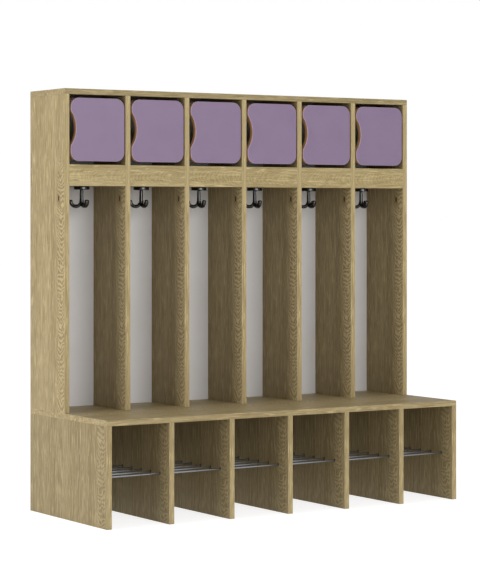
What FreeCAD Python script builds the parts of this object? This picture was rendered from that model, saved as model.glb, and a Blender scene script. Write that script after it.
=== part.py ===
import FreeCAD, Part
import math
import os

# School locker for a cloakroom: a bench with open shoe bays, and a tower of coat
# bays on it with a small locker over each bay. Millimetres, +Z up, front towards -Y.
# Origin: middle of the footprint, on the floor.

Vec = FreeCAD.Vector

# ---------------------------------------------------------------- driving dimensions
BAYS = 6
WIDTH = 1350.0
DEPTH = 520.0
HEIGHT = 1368.0
BOARD = 18.0
EDGE_ROUND = 1.0

BENCH_HEIGHT = 335.0
TOWER_DEPTH = 240.0

BACK_THICKNESS = 3.0
BACK_INSET = 19.0
GROOVE_DEPTH = 8.0
BACK_FLOOR_GAP = 10.0

APRON_BOTTOM = 1058.0
APRON_HEIGHT = 68.0

DOOR_LEFT_GAP = 5.4
DOOR_RIGHT_GAP = 4.0
DOOR_END_GAP = 11.0
DOOR_THICKNESS = 18.0
DOOR_CORNER = 30.0
DOOR_EDGE_ROUND = 1.5
NOTCH_SPAN = 123.0
NOTCH_DEPTH = 19.5
NOTCH_SHOULDER = 18.0
NOTCH_RISE = 4.0

ROD_COUNT = 5
ROD_RADIUS = 3.0
ROD_HEIGHT = 153.5
ROD_FIRST = 60.0
ROD_SPACING = 60.0
ROD_SEAT = 6.0
ROD_END_GAP = 1.0
ROD_FIT = 0.05
SOCKET_RADIUS = 4.0
SOCKET_LENGTH = 8.0
SOCKET_FLANGE_RADIUS = 4.8
SOCKET_FLANGE = 1.2

DOWEL_RADIUS = 4.0
DOWEL_IN_FACE = 10.0
DOWEL_IN_END = 20.0
DOWEL_FIT = 0.1
DOWEL_END_GAP = 1.0
BENCH_DOWEL_SETBACKS = (50.0, 250.0, 430.0)
TOWER_DOWEL_SETBACKS = (35.0, 195.0)
SHELF_DOWEL_SETBACKS_LEFT = (50.0, 165.0)
SHELF_DOWEL_SETBACKS_RIGHT = (70.0, 185.0)
APRON_DOWEL_RISES_LEFT = (14.0, 44.0)
APRON_DOWEL_RISES_RIGHT = (28.0, 56.0)

HOOK_SETBACK = 110.0
HOOK_BASE_RADIUS = 26.0
HOOK_BASE_THICKNESS = 11.0
HOOK_BASE_ROUND = 1.5
HOOK_STEM_TOP_RADIUS = 5.2
HOOK_STEM_RADIUS = 6.0
HOOK_STEM_RADIUS_DROP = 30.0
HOOK_HUB_RADIUS = 6.6
HOOK_HUB_END_RADIUS = 4.2
HOOK_HUB_END_DROP = 54.0
HOOK_HUB_TIP_DROP = 55.5
HOOK_CURVE_DROP = 48.4
HOOK_CURVE_START = 1.8
HOOK_CURVE_RADIUS = 16.5
HOOK_PRONG_HALF_WIDTH = 6.9
HOOK_PRONG_HALF_THICKNESS = 5.8
HOOK_TIP_RISE = 5.4
HOOK_TIP_TURNS = (0, 25, 45, 65, 80)
HOOK_PRONG_ANGLES = (270.0, 30.0, 150.0)
HOOK_SCREW_ANGLES = (90.0, 210.0, 330.0)
HOOK_SCREW_CIRCLE = 18.0
HOOK_SCREW_RADIUS = 1.8
HOOK_SCREW_HEAD = 3.6
HOOK_SCREW_LENGTH = 20.0

HINGE_OFFSET = 50.0
PIVOT_FROM_SIDE = 2.0
CUP_FROM_SIDE = 30.0
CUP_RADIUS = 17.5
CUP_DEPTH = 11.5
CUP_WALL = 1.0
CUP_FIT = 0.1
FLANGE_RADIUS = 20.0
FLANGE_THICKNESS = 1.5
FLANGE_WING_HALF_HEIGHT = 28.0
FLANGE_WING_HALF_WIDTH = 6.5
CUP_SCREW_RADIUS = 1.8
CUP_SCREW_HEAD = 3.4
CUP_SCREW_LENGTH = 12.0
CUP_SCREW_SPACING = 45.0
CUP_SCREW_SETBACK = 9.5
LINK_INNER = 23.5
LINK_OUTER = 30.0
LINK_THICKNESS = 3.0
LINK_FROM = 24.0
LINK_TO = 86.0
ARM_WIDTH = 8.4
ARM_SLOT = 4.4
ARM_OUTLINE = ((23, 10.5), (31, 10.5), (33, 22), (24, 36), (15, 44), (15, 78), (5, 78), (5, 40),
               (21, 21.5))
ARM_SLOT_OUTLINE = ((0, 5), (45, 5), (45, 12), (30.6, 22), (22.6, 35), (13.4, 43), (13.4, 70),
                    (0, 70))
PLATE_THICKNESS = 5.0
PLATE_BACK_FROM = 42.0
PLATE_BACK_TO = 80.0
PLATE_HALF_HEIGHT = 7.0
PLATE_WING_THICKNESS = 2.5
PLATE_WING_HALF_HEIGHT = 22.0
PLATE_WING_HALF_WIDTH = 6.5
PLATE_SETBACK = 55.0
PLATE_SCREW_SPACING = 32.0
PLATE_SCREW_RADIUS = 2.5
PLATE_SCREW_HEAD = 4.2
PLATE_SCREW_LENGTH = 14.0

SCREW_FIT = 0.1
OVERCUT = 1.0
TINY = 0.01

# ---------------------------------------------------------------- worked-out places
FRONT = -DEPTH / 2
BACK = DEPTH / 2
LEFT = -WIDTH / 2
RIGHT = WIDTH / 2
TOWER_FRONT = BACK - TOWER_DEPTH
BENCH_UPRIGHT = BENCH_HEIGHT - BOARD
TOP_UNDERSIDE = HEIGHT - BOARD
CLEAR_WIDTH = (WIDTH - (BAYS + 1) * BOARD) / BAYS
PITCH = CLEAR_WIDTH + BOARD
BACK_REAR_FACE = BACK - BACK_INSET
BACK_FRONT_FACE = BACK_REAR_FACE - BACK_THICKNESS
APRON_TOP = APRON_BOTTOM + APRON_HEIGHT
APRON_BACK = TOWER_FRONT + BOARD
SHELF_UNDERSIDE = APRON_BOTTOM
SHELF_TOP = SHELF_UNDERSIDE + BOARD
DOOR_BOTTOM = APRON_TOP + DOOR_END_GAP
DOOR_TOP = TOP_UNDERSIDE - DOOR_END_GAP
DOOR_MIDDLE = (DOOR_BOTTOM + DOOR_TOP) / 2
DOOR_BACK = TOWER_FRONT + DOOR_THICKNESS
NOTCH_MIDDLE = DOOR_MIDDLE + NOTCH_RISE
HOOK_Y = TOWER_FRONT + HOOK_SETBACK

UPRIGHT_LEFTS = [LEFT + i * PITCH for i in range(BAYS + 1)]
UPRIGHT_MIDDLES = [x + BOARD / 2 for x in UPRIGHT_LEFTS]
BAY_LEFTS = [x + BOARD for x in UPRIGHT_LEFTS[:-1]]
BAY_RIGHTS = [x + CLEAR_WIDTH for x in BAY_LEFTS]
BAY_MIDDLES = [x + CLEAR_WIDTH / 2 for x in BAY_LEFTS]
HINGE_HEIGHTS = (DOOR_MIDDLE - HINGE_OFFSET, DOOR_MIDDLE + HINGE_OFFSET)

BENCH_DOWELS_Y = [FRONT + back for back in BENCH_DOWEL_SETBACKS]
TOWER_DOWELS_Y = [TOWER_FRONT + back for back in TOWER_DOWEL_SETBACKS]
SHELF_DOWELS_LEFT_Y = [TOWER_FRONT + back for back in SHELF_DOWEL_SETBACKS_LEFT]
SHELF_DOWELS_RIGHT_Y = [TOWER_FRONT + back for back in SHELF_DOWEL_SETBACKS_RIGHT]
APRON_DOWELS_LEFT_Z = [APRON_BOTTOM + rise for rise in APRON_DOWEL_RISES_LEFT]
APRON_DOWELS_RIGHT_Z = [APRON_BOTTOM + rise for rise in APRON_DOWEL_RISES_RIGHT]
ROD_YS = [FRONT + ROD_FIRST + i * ROD_SPACING for i in range(ROD_COUNT)]

ALONG_X = Vec(1, 0, 0)
ALONG_Y = Vec(0, 1, 0)
ALONG_Z = Vec(0, 0, 1)


# ---------------------------------------------------------------- helpers
def save(name, shape):
    """Writes one sub-part as parts/NAME.step."""
    shape.exportStep(os.path.join("parts", name + ".step"))


def block(x0, x1, y0, y1, z0, z1):
    """A plain box between two corners."""
    return Part.makeBox(x1 - x0, y1 - y0, z1 - z0, Vec(x0, y0, z0))


def cylinder(radius, length, start, direction):
    """A round bar from a start point along a direction."""
    return Part.makeCylinder(radius, length, start, direction)


def group(solids):
    """Several separate solids kept in one sub-part."""
    return Part.makeCompound(solids)


def cut_where_near(shape, tools):
    """Cuts those tools whose bounding box meets the shape's."""
    near = [tool for tool in tools if tool.BoundBox.intersect(shape.BoundBox)]
    return shape.cut(near) if near else shape


def countersunk_screw(head, direction, shank_radius, length, head_radius):
    """A countersunk screw: its head is flush at the point head, its shank runs along direction."""
    cone_height = head_radius - shank_radius
    cone = Part.makeCone(head_radius, shank_radius, cone_height, head, direction)
    shank = cylinder(shank_radius, length, head, direction)
    return cone.fuse(shank).removeSplitter()


# ---------------------------------------------------------------- dowels and their holes
def dowel_at(point, direction):
    """A dowel that crosses a joint: the long end goes along direction, into an end or edge."""
    length = DOWEL_IN_FACE + DOWEL_IN_END
    return cylinder(DOWEL_RADIUS, length, point - direction * DOWEL_IN_FACE, direction)


def dowel_hole_at(point, direction):
    """The hole for that dowel, a little wider and deeper."""
    start = point - direction * (DOWEL_IN_FACE + DOWEL_END_GAP)
    length = DOWEL_IN_FACE + DOWEL_IN_END + 2 * DOWEL_END_GAP
    return cylinder(DOWEL_RADIUS + DOWEL_FIT, length, start, direction)


joints = []
for x in UPRIGHT_MIDDLES:
    for y in BENCH_DOWELS_Y:
        joints.append((Vec(x, y, BENCH_UPRIGHT), -ALONG_Z))
    for y in TOWER_DOWELS_Y:
        joints.append((Vec(x, y, BENCH_HEIGHT), ALONG_Z))
        joints.append((Vec(x, y, TOP_UNDERSIDE), -ALONG_Z))
for left, right in zip(BAY_LEFTS, BAY_RIGHTS):
    for y in SHELF_DOWELS_LEFT_Y:
        joints.append((Vec(left, y, SHELF_UNDERSIDE + BOARD / 2), ALONG_X))
    for y in SHELF_DOWELS_RIGHT_Y:
        joints.append((Vec(right, y, SHELF_UNDERSIDE + BOARD / 2), -ALONG_X))
    for z in APRON_DOWELS_LEFT_Z:
        joints.append((Vec(left, TOWER_FRONT + BOARD / 2, z), ALONG_X))
    for z in APRON_DOWELS_RIGHT_Z:
        joints.append((Vec(right, TOWER_FRONT + BOARD / 2, z), -ALONG_X))

DOWELS = [dowel_at(point, direction) for point, direction in joints]
DOWEL_HOLES = [dowel_hole_at(point, direction) for point, direction in joints]


# ---------------------------------------------------------------- shoe rack rods
def rod(left, right, y):
    """One steel rod across a bay, seated in a socket at each end."""
    length = right - left + 2 * ROD_SEAT
    return cylinder(ROD_RADIUS, length, Vec(left - ROD_SEAT, y, ROD_HEIGHT), ALONG_X)


def socket(face_x, y, into_board):
    """A flanged plastic socket pressed into a board face, with a blind bore for the rod."""
    mouth = Vec(face_x, y, ROD_HEIGHT)
    barrel = cylinder(SOCKET_RADIUS, SOCKET_LENGTH, mouth, into_board)
    flange = cylinder(SOCKET_FLANGE_RADIUS, SOCKET_FLANGE, mouth, -into_board)
    bore_start = mouth - into_board * SOCKET_FLANGE
    bore_length = SOCKET_FLANGE + ROD_SEAT + ROD_END_GAP
    bore = cylinder(ROD_RADIUS + ROD_FIT, bore_length, bore_start, into_board)
    return barrel.fuse(flange).cut(bore).removeSplitter()


def socket_hole(face_x, y, into_board):
    """The hole that the socket's barrel sits in."""
    start = Vec(face_x, y, ROD_HEIGHT) - into_board * OVERCUT
    return cylinder(SOCKET_RADIUS, SOCKET_LENGTH + OVERCUT, start, into_board)


socket_places = []
for left, right in zip(BAY_LEFTS, BAY_RIGHTS):
    for y in ROD_YS:
        socket_places.append((left, y, -ALONG_X))
        socket_places.append((right, y, ALONG_X))

SOCKET_HOLES = [socket_hole(*place) for place in socket_places]


# ---------------------------------------------------------------- screws that stay with the cabinet
def hook_screw_points(middle_x):
    """Where the screws enter one hook's base, on its underside."""
    points = []
    for angle in HOOK_SCREW_ANGLES:
        dx = HOOK_SCREW_CIRCLE * math.cos(math.radians(angle))
        dy = HOOK_SCREW_CIRCLE * math.sin(math.radians(angle))
        points.append(Vec(middle_x + dx, HOOK_Y + dy, SHELF_UNDERSIDE - HOOK_BASE_THICKNESS))
    return points


def plate_screw_points(right_x, z):
    """Where the screws enter one hinge's mounting plate."""
    half = PLATE_SCREW_SPACING / 2
    x = right_x - PLATE_WING_THICKNESS
    y = TOWER_FRONT + PLATE_SETBACK
    return [Vec(x, y, z - half), Vec(x, y, z + half)]


def hook_screw(point, fit=0.0):
    """One hook screw, driven up through the base into the shelf."""
    return countersunk_screw(point, ALONG_Z, HOOK_SCREW_RADIUS + fit, HOOK_SCREW_LENGTH + fit,
                             HOOK_SCREW_HEAD + fit)


def plate_screw(point, fit=0.0):
    """One mounting plate screw, driven sideways into the board."""
    return countersunk_screw(point, ALONG_X, PLATE_SCREW_RADIUS + fit, PLATE_SCREW_LENGTH + fit,
                             PLATE_SCREW_HEAD + fit)


SCREWS = []
SCREW_HOLES = []
for middle_x, right_x in zip(BAY_MIDDLES, BAY_RIGHTS):
    for point in hook_screw_points(middle_x):
        SCREWS.append(hook_screw(point))
        SCREW_HOLES.append(hook_screw(point, SCREW_FIT))
    for z in HINGE_HEIGHTS:
        for point in plate_screw_points(right_x, z):
            SCREWS.append(plate_screw(point))
            SCREW_HOLES.append(plate_screw(point, SCREW_FIT))


# ---------------------------------------------------------------- boards
GROOVE = block(LEFT + BOARD - GROOVE_DEPTH, RIGHT - BOARD + GROOVE_DEPTH,
               BACK_FRONT_FACE, BACK_REAR_FACE, 0, TOP_UNDERSIDE + GROOVE_DEPTH)


def board(x0, x1, y0, y1, z0, z1, cutters=()):
    """A laminated board with slightly rounded edges, drilled for dowels, sockets and screws."""
    plain = block(x0, x1, y0, y1, z0, z1)
    rounded = plain.makeFillet(EDGE_ROUND, plain.Edges)
    holes = DOWEL_HOLES + SOCKET_HOLES + SCREW_HOLES + list(cutters)
    return cut_where_near(rounded, holes)


def bench_upright(left, is_outer):
    """A bench side or divider. Only the outer ones run past the back panel, with a groove."""
    rear = BACK if is_outer else BACK_FRONT_FACE
    cutters = [GROOVE] if is_outer else []
    return board(left, left + BOARD, FRONT, rear, 0, BENCH_UPRIGHT, cutters)


def tower_upright(left, is_outer):
    """A tower side or divider, standing on the bench top."""
    rear = BACK if is_outer else BACK_FRONT_FACE
    cutters = [GROOVE] if is_outer else []
    return board(left, left + BOARD, TOWER_FRONT, rear, BENCH_HEIGHT, TOP_UNDERSIDE, cutters)


def bench_top():
    """The seat board, over all bench uprights, with the back panel's groove underneath."""
    groove = block(LEFT + BOARD - GROOVE_DEPTH, RIGHT - BOARD + GROOVE_DEPTH,
                   BACK_FRONT_FACE, BACK_REAR_FACE, BENCH_UPRIGHT - OVERCUT,
                   BENCH_UPRIGHT + GROOVE_DEPTH)
    return board(LEFT, RIGHT, FRONT, BACK, BENCH_UPRIGHT, BENCH_HEIGHT, [groove])


def top_panel():
    """The cover board over the tower, with the back panel's groove underneath."""
    return board(LEFT, RIGHT, TOWER_FRONT, BACK, TOP_UNDERSIDE, HEIGHT, [GROOVE])


def back_panel(z0, z1):
    """A thin fibreboard sheet that slides in the grooves."""
    reach = WIDTH / 2 - BOARD + GROOVE_DEPTH
    return block(-reach, reach, BACK_FRONT_FACE, BACK_REAR_FACE, z0, z1)


def locker_shelf(left):
    """The floor of one locker, behind the apron; the coat hook hangs under it."""
    return board(left, left + CLEAR_WIDTH, APRON_BACK, BACK_FRONT_FACE, SHELF_UNDERSIDE, SHELF_TOP)


def apron(left):
    """The rail under one door, flush with the tower's front."""
    return board(left, left + CLEAR_WIDTH, TOWER_FRONT, APRON_BACK, APRON_BOTTOM, APRON_TOP)


# ---------------------------------------------------------------- coat hook
def oval_wire(centre, scale):
    """The prong's oval section, shrunk by a factor, lying flat at a point."""
    oval = Part.Ellipse(centre + Vec(0, HOOK_PRONG_HALF_WIDTH * scale, 0),
                        centre + Vec(HOOK_PRONG_HALF_THICKNESS * scale, 0, 0), centre)
    return Part.Wire(oval.toShape())


def prong(angle):
    """One J-shaped prong of oval section, in the hook's own frame, turned to its direction."""
    start = Vec(HOOK_CURVE_START, 0, -HOOK_CURVE_DROP)
    curve_centre = start + Vec(HOOK_CURVE_RADIUS, 0, 0)
    curve = Part.Face(oval_wire(start, 1.0)).revolve(curve_centre, -ALONG_Y, 180)
    tip_base = start + Vec(2 * HOOK_CURVE_RADIUS, 0, 0)
    sections = []
    for turn in HOOK_TIP_TURNS:
        rise = HOOK_TIP_RISE * math.sin(math.radians(turn))
        sections.append(oval_wire(tip_base + Vec(0, 0, rise), math.cos(math.radians(turn))))
    whole = curve.fuse(Part.makeLoft(sections, True))
    whole.rotate(Vec(0, 0, 0), ALONG_Z, angle)
    return whole


def coat_hook(middle_x):
    """A moulded three-prong hook: round base, stem that thickens downwards, three prongs."""
    base = cylinder(HOOK_BASE_RADIUS, HOOK_BASE_THICKNESS, Vec(0, 0, -HOOK_BASE_THICKNESS), ALONG_Z)
    lower_rim = [edge for edge in base.Edges if edge.BoundBox.ZMax < TINY - HOOK_BASE_THICKNESS]
    base = base.makeFillet(HOOK_BASE_ROUND, lower_rim)
    stem_outline = [
        Vec(0, 0, -HOOK_BASE_THICKNESS / 2),
        Vec(HOOK_STEM_TOP_RADIUS, 0, -HOOK_BASE_THICKNESS / 2),
        Vec(HOOK_STEM_TOP_RADIUS, 0, -HOOK_BASE_THICKNESS),
        Vec(HOOK_STEM_RADIUS, 0, -HOOK_STEM_RADIUS_DROP),
        Vec(HOOK_HUB_RADIUS, 0, -HOOK_CURVE_DROP),
        Vec(HOOK_HUB_END_RADIUS, 0, -HOOK_HUB_END_DROP),
        Vec(0, 0, -HOOK_HUB_TIP_DROP),
        Vec(0, 0, -HOOK_BASE_THICKNESS / 2),
    ]
    stem = Part.Face(Part.makePolygon(stem_outline)).revolve(Vec(0, 0, 0), ALONG_Z, 360)
    hook = base.fuse([stem] + [prong(angle) for angle in HOOK_PRONG_ANGLES])
    hook.translate(Vec(middle_x, HOOK_Y, SHELF_UNDERSIDE))
    return cut_where_near(hook, SCREW_HOLES)


# ---------------------------------------------------------------- door
def arc(centre_x, centre_z, radius, start, end):
    """An arc in the door's plane, by its centre, radius and two angles in degrees."""
    points = []
    for angle in (start, (start + end) / 2, end):
        dx = radius * math.cos(math.radians(angle))
        dz = radius * math.sin(math.radians(angle))
        points.append(Vec(centre_x + dx, TOWER_FRONT, centre_z + dz))
    return Part.Arc(*points).toShape()


def line(x0, z0, x1, z1):
    """A straight edge in the door's plane."""
    return Part.makeLine(Vec(x0, TOWER_FRONT, z0), Vec(x1, TOWER_FRONT, z1))


def door_outline(left_x, right_x):
    """Rounded rectangle with a wave-shaped finger notch in its left edge."""
    x0 = left_x + DOOR_LEFT_GAP
    x1 = right_x - DOOR_RIGHT_GAP
    z0 = DOOR_BOTTOM
    z1 = DOOR_TOP
    c = DOOR_CORNER
    half_span = NOTCH_SPAN / 2
    radii_sum = (half_span ** 2 + NOTCH_DEPTH ** 2) / (2 * NOTCH_DEPTH)
    hollow = radii_sum - NOTCH_SHOULDER
    swing = math.degrees(math.atan2(half_span, radii_sum - NOTCH_DEPTH))
    notch_top = NOTCH_MIDDLE + half_span
    notch_bottom = NOTCH_MIDDLE - half_span
    return Part.Wire([
        line(x0 + c, z0, x1 - c, z0),
        arc(x1 - c, z0 + c, c, -90, 0),
        line(x1, z0 + c, x1, z1 - c),
        arc(x1 - c, z1 - c, c, 0, 90),
        line(x1 - c, z1, x0 + c, z1),
        arc(x0 + c, z1 - c, c, 90, 180),
        line(x0, z1 - c, x0, notch_top),
        arc(x0 + NOTCH_SHOULDER, notch_top, NOTCH_SHOULDER, 180, 180 + swing),
        arc(x0 + NOTCH_DEPTH - hollow, NOTCH_MIDDLE, hollow, swing, -swing),
        arc(x0 + NOTCH_SHOULDER, notch_bottom, NOTCH_SHOULDER, 180 - swing, 180),
        line(x0, notch_bottom, x0, z0 + c),
        arc(x0 + c, z0 + c, c, 180, 270),
    ])


def cup_centre(right_x, z):
    """Middle of a hinge cup's mouth, on the door's back face."""
    return Vec(right_x - CUP_FROM_SIDE, DOOR_BACK, z)


def cup_screw_points(right_x, z):
    """Where the cup's two screws enter its flange."""
    centre = cup_centre(right_x, z)
    half = CUP_SCREW_SPACING / 2
    return [centre + Vec(-CUP_SCREW_SETBACK, FLANGE_THICKNESS, -half),
            centre + Vec(-CUP_SCREW_SETBACK, FLANGE_THICKNESS, half)]


def cup_screw(point, fit=0.0):
    """One cup screw, driven into the door's back."""
    return countersunk_screw(point, -ALONG_Y, CUP_SCREW_RADIUS + fit, CUP_SCREW_LENGTH + fit,
                             CUP_SCREW_HEAD + fit)


def door(left_x, right_x):
    """A door with rounded edges, bored from behind for its hinge cups and their screws."""
    slab = Part.Face(door_outline(left_x, right_x)).extrude(Vec(0, DOOR_THICKNESS, 0))
    rims = [edge for edge in slab.Edges if edge.BoundBox.YLength < TINY]
    slab = slab.makeFillet(DOOR_EDGE_ROUND, rims)
    holes = []
    for z in HINGE_HEIGHTS:
        mouth = cup_centre(right_x, z) + ALONG_Y * OVERCUT
        bore_depth = CUP_DEPTH + CUP_FIT + OVERCUT
        holes.append(cylinder(CUP_RADIUS + CUP_FIT, bore_depth, mouth, -ALONG_Y))
        holes.extend(cup_screw(point, SCREW_FIT) for point in cup_screw_points(right_x, z))
    return slab.cut(holes)


# ---------------------------------------------------------------- concealed hinges
def hinge_cup(right_x, z):
    """A pressed cup with a flange; it sits in the door's bore."""
    centre = cup_centre(right_x, z)
    shell = cylinder(CUP_RADIUS, CUP_DEPTH, centre, -ALONG_Y)
    disc = cylinder(FLANGE_RADIUS, FLANGE_THICKNESS, centre, ALONG_Y)
    wing_x = centre.x - CUP_SCREW_SETBACK
    wing = block(wing_x - FLANGE_WING_HALF_WIDTH, wing_x + FLANGE_WING_HALF_WIDTH,
                 DOOR_BACK, DOOR_BACK + FLANGE_THICKNESS,
                 z - FLANGE_WING_HALF_HEIGHT, z + FLANGE_WING_HALF_HEIGHT)
    mouth = centre + ALONG_Y * (FLANGE_THICKNESS + OVERCUT)
    hollow_depth = CUP_DEPTH - CUP_WALL + FLANGE_THICKNESS + OVERCUT
    hollow = cylinder(CUP_RADIUS - CUP_WALL, hollow_depth, mouth, -ALONG_Y)
    holes = [cup_screw(point, SCREW_FIT) for point in cup_screw_points(right_x, z)]
    return shell.fuse([disc, wing]).cut([hollow] + holes).removeSplitter()


def hinge_cups(right_x):
    """Both cups of one door with their screws."""
    solids = []
    for z in HINGE_HEIGHTS:
        solids.append(hinge_cup(right_x, z))
        solids.extend(cup_screw(point) for point in cup_screw_points(right_x, z))
    return group(solids)


def from_side(right_x, out, back, z):
    """A point by its distance out from the bay's right face and back from the tower's front."""
    return Vec(right_x - out, TOWER_FRONT + back, z)


def hinge_link(right_x, z):
    """A flat link curved about the door's turning axis, between the arm and the cup."""
    pivot = from_side(right_x, PIVOT_FROM_SIDE, 0, z - LINK_THICKNESS / 2)

    def at(radius, angle):
        turn = math.radians(180 - angle)
        return pivot + Vec(radius * math.cos(turn), radius * math.sin(turn), 0)

    middle = (LINK_FROM + LINK_TO) / 2
    outer = Part.Arc(at(LINK_OUTER, LINK_FROM), at(LINK_OUTER, middle), at(LINK_OUTER, LINK_TO))
    inner = Part.Arc(at(LINK_INNER, LINK_TO), at(LINK_INNER, middle), at(LINK_INNER, LINK_FROM))
    wire = Part.Wire([
        outer.toShape(),
        Part.makeLine(at(LINK_OUTER, LINK_TO), at(LINK_INNER, LINK_TO)),
        inner.toShape(),
        Part.makeLine(at(LINK_INNER, LINK_FROM), at(LINK_OUTER, LINK_FROM)),
    ])
    return Part.Face(wire).extrude(Vec(0, 0, LINK_THICKNESS))


def hinge_links(right_x):
    """The links of one door's two hinges."""
    return group([hinge_link(right_x, z) for z in HINGE_HEIGHTS])


def hinge_arm(right_x, z):
    """A cranked channel from the mounting plate to the cup; the link moves in its slot."""
    def prism(outline, thickness):
        points = [from_side(right_x, out, back, z - thickness / 2) for out, back in outline]
        face = Part.Face(Part.makePolygon(points + [points[0]]))
        return face.extrude(Vec(0, 0, thickness))

    return prism(ARM_OUTLINE, ARM_WIDTH).cut(prism(ARM_SLOT_OUTLINE, ARM_SLOT))


def hinge_plate(right_x, z):
    """A cross-shaped mounting plate, screwed to the bay's right face."""
    spine = block(right_x - PLATE_THICKNESS, right_x, TOWER_FRONT + PLATE_BACK_FROM,
                  TOWER_FRONT + PLATE_BACK_TO, z - PLATE_HALF_HEIGHT, z + PLATE_HALF_HEIGHT)
    wing_y = TOWER_FRONT + PLATE_SETBACK
    wings = block(right_x - PLATE_WING_THICKNESS, right_x, wing_y - PLATE_WING_HALF_WIDTH,
                  wing_y + PLATE_WING_HALF_WIDTH, z - PLATE_WING_HALF_HEIGHT,
                  z + PLATE_WING_HALF_HEIGHT)
    return cut_where_near(spine.fuse(wings).removeSplitter(), SCREW_HOLES)


# ---------------------------------------------------------------- write the sub-parts
os.makedirs("parts", exist_ok=True)

for index, left in enumerate(UPRIGHT_LEFTS):
    is_outer = index in (0, BAYS)
    if index == 0:
        place = "side_left"
    elif index == BAYS:
        place = "side_right"
    else:
        place = "divider_%d" % index
    save("bench_" + place, bench_upright(left, is_outer))
    save("tower_" + place, tower_upright(left, is_outer))

save("bench_top", bench_top())
save("bench_back_panel", back_panel(BACK_FLOOR_GAP, BENCH_UPRIGHT + GROOVE_DEPTH))
save("top_panel", top_panel())
save("tower_back_panel", back_panel(BENCH_HEIGHT, TOP_UNDERSIDE + GROOVE_DEPTH))

save("shoe_rods", group([rod(left, right, y) for left, right in zip(BAY_LEFTS, BAY_RIGHTS)
                         for y in ROD_YS]))
save("rod_sockets", group([socket(*place) for place in socket_places]))
save("wooden_dowels", group(DOWELS))
save("fixing_screws", group(SCREWS))

hinge_places = [(right_x, z) for right_x in BAY_RIGHTS for z in HINGE_HEIGHTS]
save("hinge_arms", group([hinge_arm(*place) for place in hinge_places]))
save("hinge_plates", group([hinge_plate(*place) for place in hinge_places]))

for index in range(BAYS):
    number = "_%d" % (index + 1)
    left = BAY_LEFTS[index]
    middle_x = BAY_MIDDLES[index]
    right_x = BAY_RIGHTS[index]
    save("locker_shelf" + number, locker_shelf(left))
    save("apron" + number, apron(left))
    save("coat_hook" + number, coat_hook(middle_x))
    save("door" + number, door(left, right_x))
    save("hinge_cups" + number, hinge_cups(right_x))
    save("hinge_links" + number, hinge_links(right_x))
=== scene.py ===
import math

import bmesh
import bpy
from mathutils import Matrix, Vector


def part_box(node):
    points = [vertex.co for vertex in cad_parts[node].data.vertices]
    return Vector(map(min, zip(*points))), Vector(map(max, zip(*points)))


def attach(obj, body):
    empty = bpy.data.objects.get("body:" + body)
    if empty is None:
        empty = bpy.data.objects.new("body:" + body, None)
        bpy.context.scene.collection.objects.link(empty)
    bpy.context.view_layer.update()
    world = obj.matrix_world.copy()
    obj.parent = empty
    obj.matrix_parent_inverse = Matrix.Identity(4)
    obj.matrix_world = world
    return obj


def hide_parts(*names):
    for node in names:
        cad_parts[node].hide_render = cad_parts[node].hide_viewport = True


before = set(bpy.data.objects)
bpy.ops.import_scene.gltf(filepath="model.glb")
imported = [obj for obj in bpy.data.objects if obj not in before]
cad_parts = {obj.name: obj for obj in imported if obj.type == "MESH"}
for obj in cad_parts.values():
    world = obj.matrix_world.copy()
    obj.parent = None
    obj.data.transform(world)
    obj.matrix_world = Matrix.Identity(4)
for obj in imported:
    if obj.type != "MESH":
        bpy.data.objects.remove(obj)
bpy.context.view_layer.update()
bpy.ops.object.select_all(action="DESELECT")

# Camera: a long lens at the height of a standing adult's chest, turned a third of the
# way to the left end, with the lens shifted down so that the uprights stay parallel.
CAMERA_PLACE = (-3.8506, -6.0699, 0.9673)
CAMERA_TURN = -32.192
LENS_LENGTH = 136.06
LENS_SHIFT = -0.1247
SIGHT = 200
bpy.ops.object.camera_add(location=CAMERA_PLACE,
                          rotation=(math.radians(90), 0, math.radians(CAMERA_TURN)))
camera = bpy.context.object
camera.name = "camera"
camera.data.lens = LENS_LENGTH
camera.data.shift_y = LENS_SHIFT
camera.data.clip_end = SIGHT
bpy.context.scene.camera = camera

# Uprights, bench top, cover board, locker floors and rails: 18 mm chipboard faced with
# printed oak paper under melamine, cut square, the long edges closed with a 1 mm band
# of the same print, and the arrises broken by hand.


def add(tree, kind, *values, **settings):
    """Adds a node. Values go to its inputs in order, as links or numbers; None is skipped."""
    made = tree.nodes.new("ShaderNode" + kind)
    for setting, value in settings.items():
        setattr(made, setting, value)
    for socket, value in zip(made.inputs, values):
        if isinstance(value, bpy.types.NodeSocket):
            tree.links.new(value, socket)
        elif value is not None:
            socket.default_value = value
    return made.outputs[0]


def reckon(tree, operation, *values):
    """A sum on numbers."""
    return add(tree, "Math", *values, operation=operation)


def reckon_place(tree, operation, *values):
    """A sum on places."""
    return add(tree, "VectorMath", *values, operation=operation)


def between(tree, value, low, high):
    """0 at low and 1 at high, with a soft step; high may be the smaller."""
    return add(tree, "MapRange", value, low, high, 0.0, 1.0, interpolation_type="SMOOTHSTEP")


def noise(tree, place, scale, detail=2.0, rough=0.5, wobble=0.0):
    """Cloudy noise; scale is its features per metre, one number or three."""
    if isinstance(scale, tuple):
        place = reckon_place(tree, "MULTIPLY", place, scale)
        scale = 1.0
    return add(tree, "TexNoise", place, None, scale, detail, rough, None, None, None, wobble)


def wave(tree, value):
    """A sine wave from 0 to 1."""
    return reckon(tree, "MULTIPLY_ADD", reckon(tree, "SINE", value), 0.5, 0.5)


def tint(tree, share, under, over, way="MIX"):
    """One colour over another by a share."""
    made = tree.nodes.new("ShaderNodeMix")
    made.data_type = "RGBA"
    made.blend_type = way
    share_in, under_in, over_in = (made.inputs[index] for index in (0, 6, 7))
    for socket, value in ((share_in, share), (under_in, under), (over_in, over)):
        if isinstance(value, bpy.types.NodeSocket):
            tree.links.new(value, socket)
        elif socket is share_in:
            socket.default_value = value
        else:
            socket.default_value = (*value[:3], 1)
    return made.outputs[2]


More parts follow.
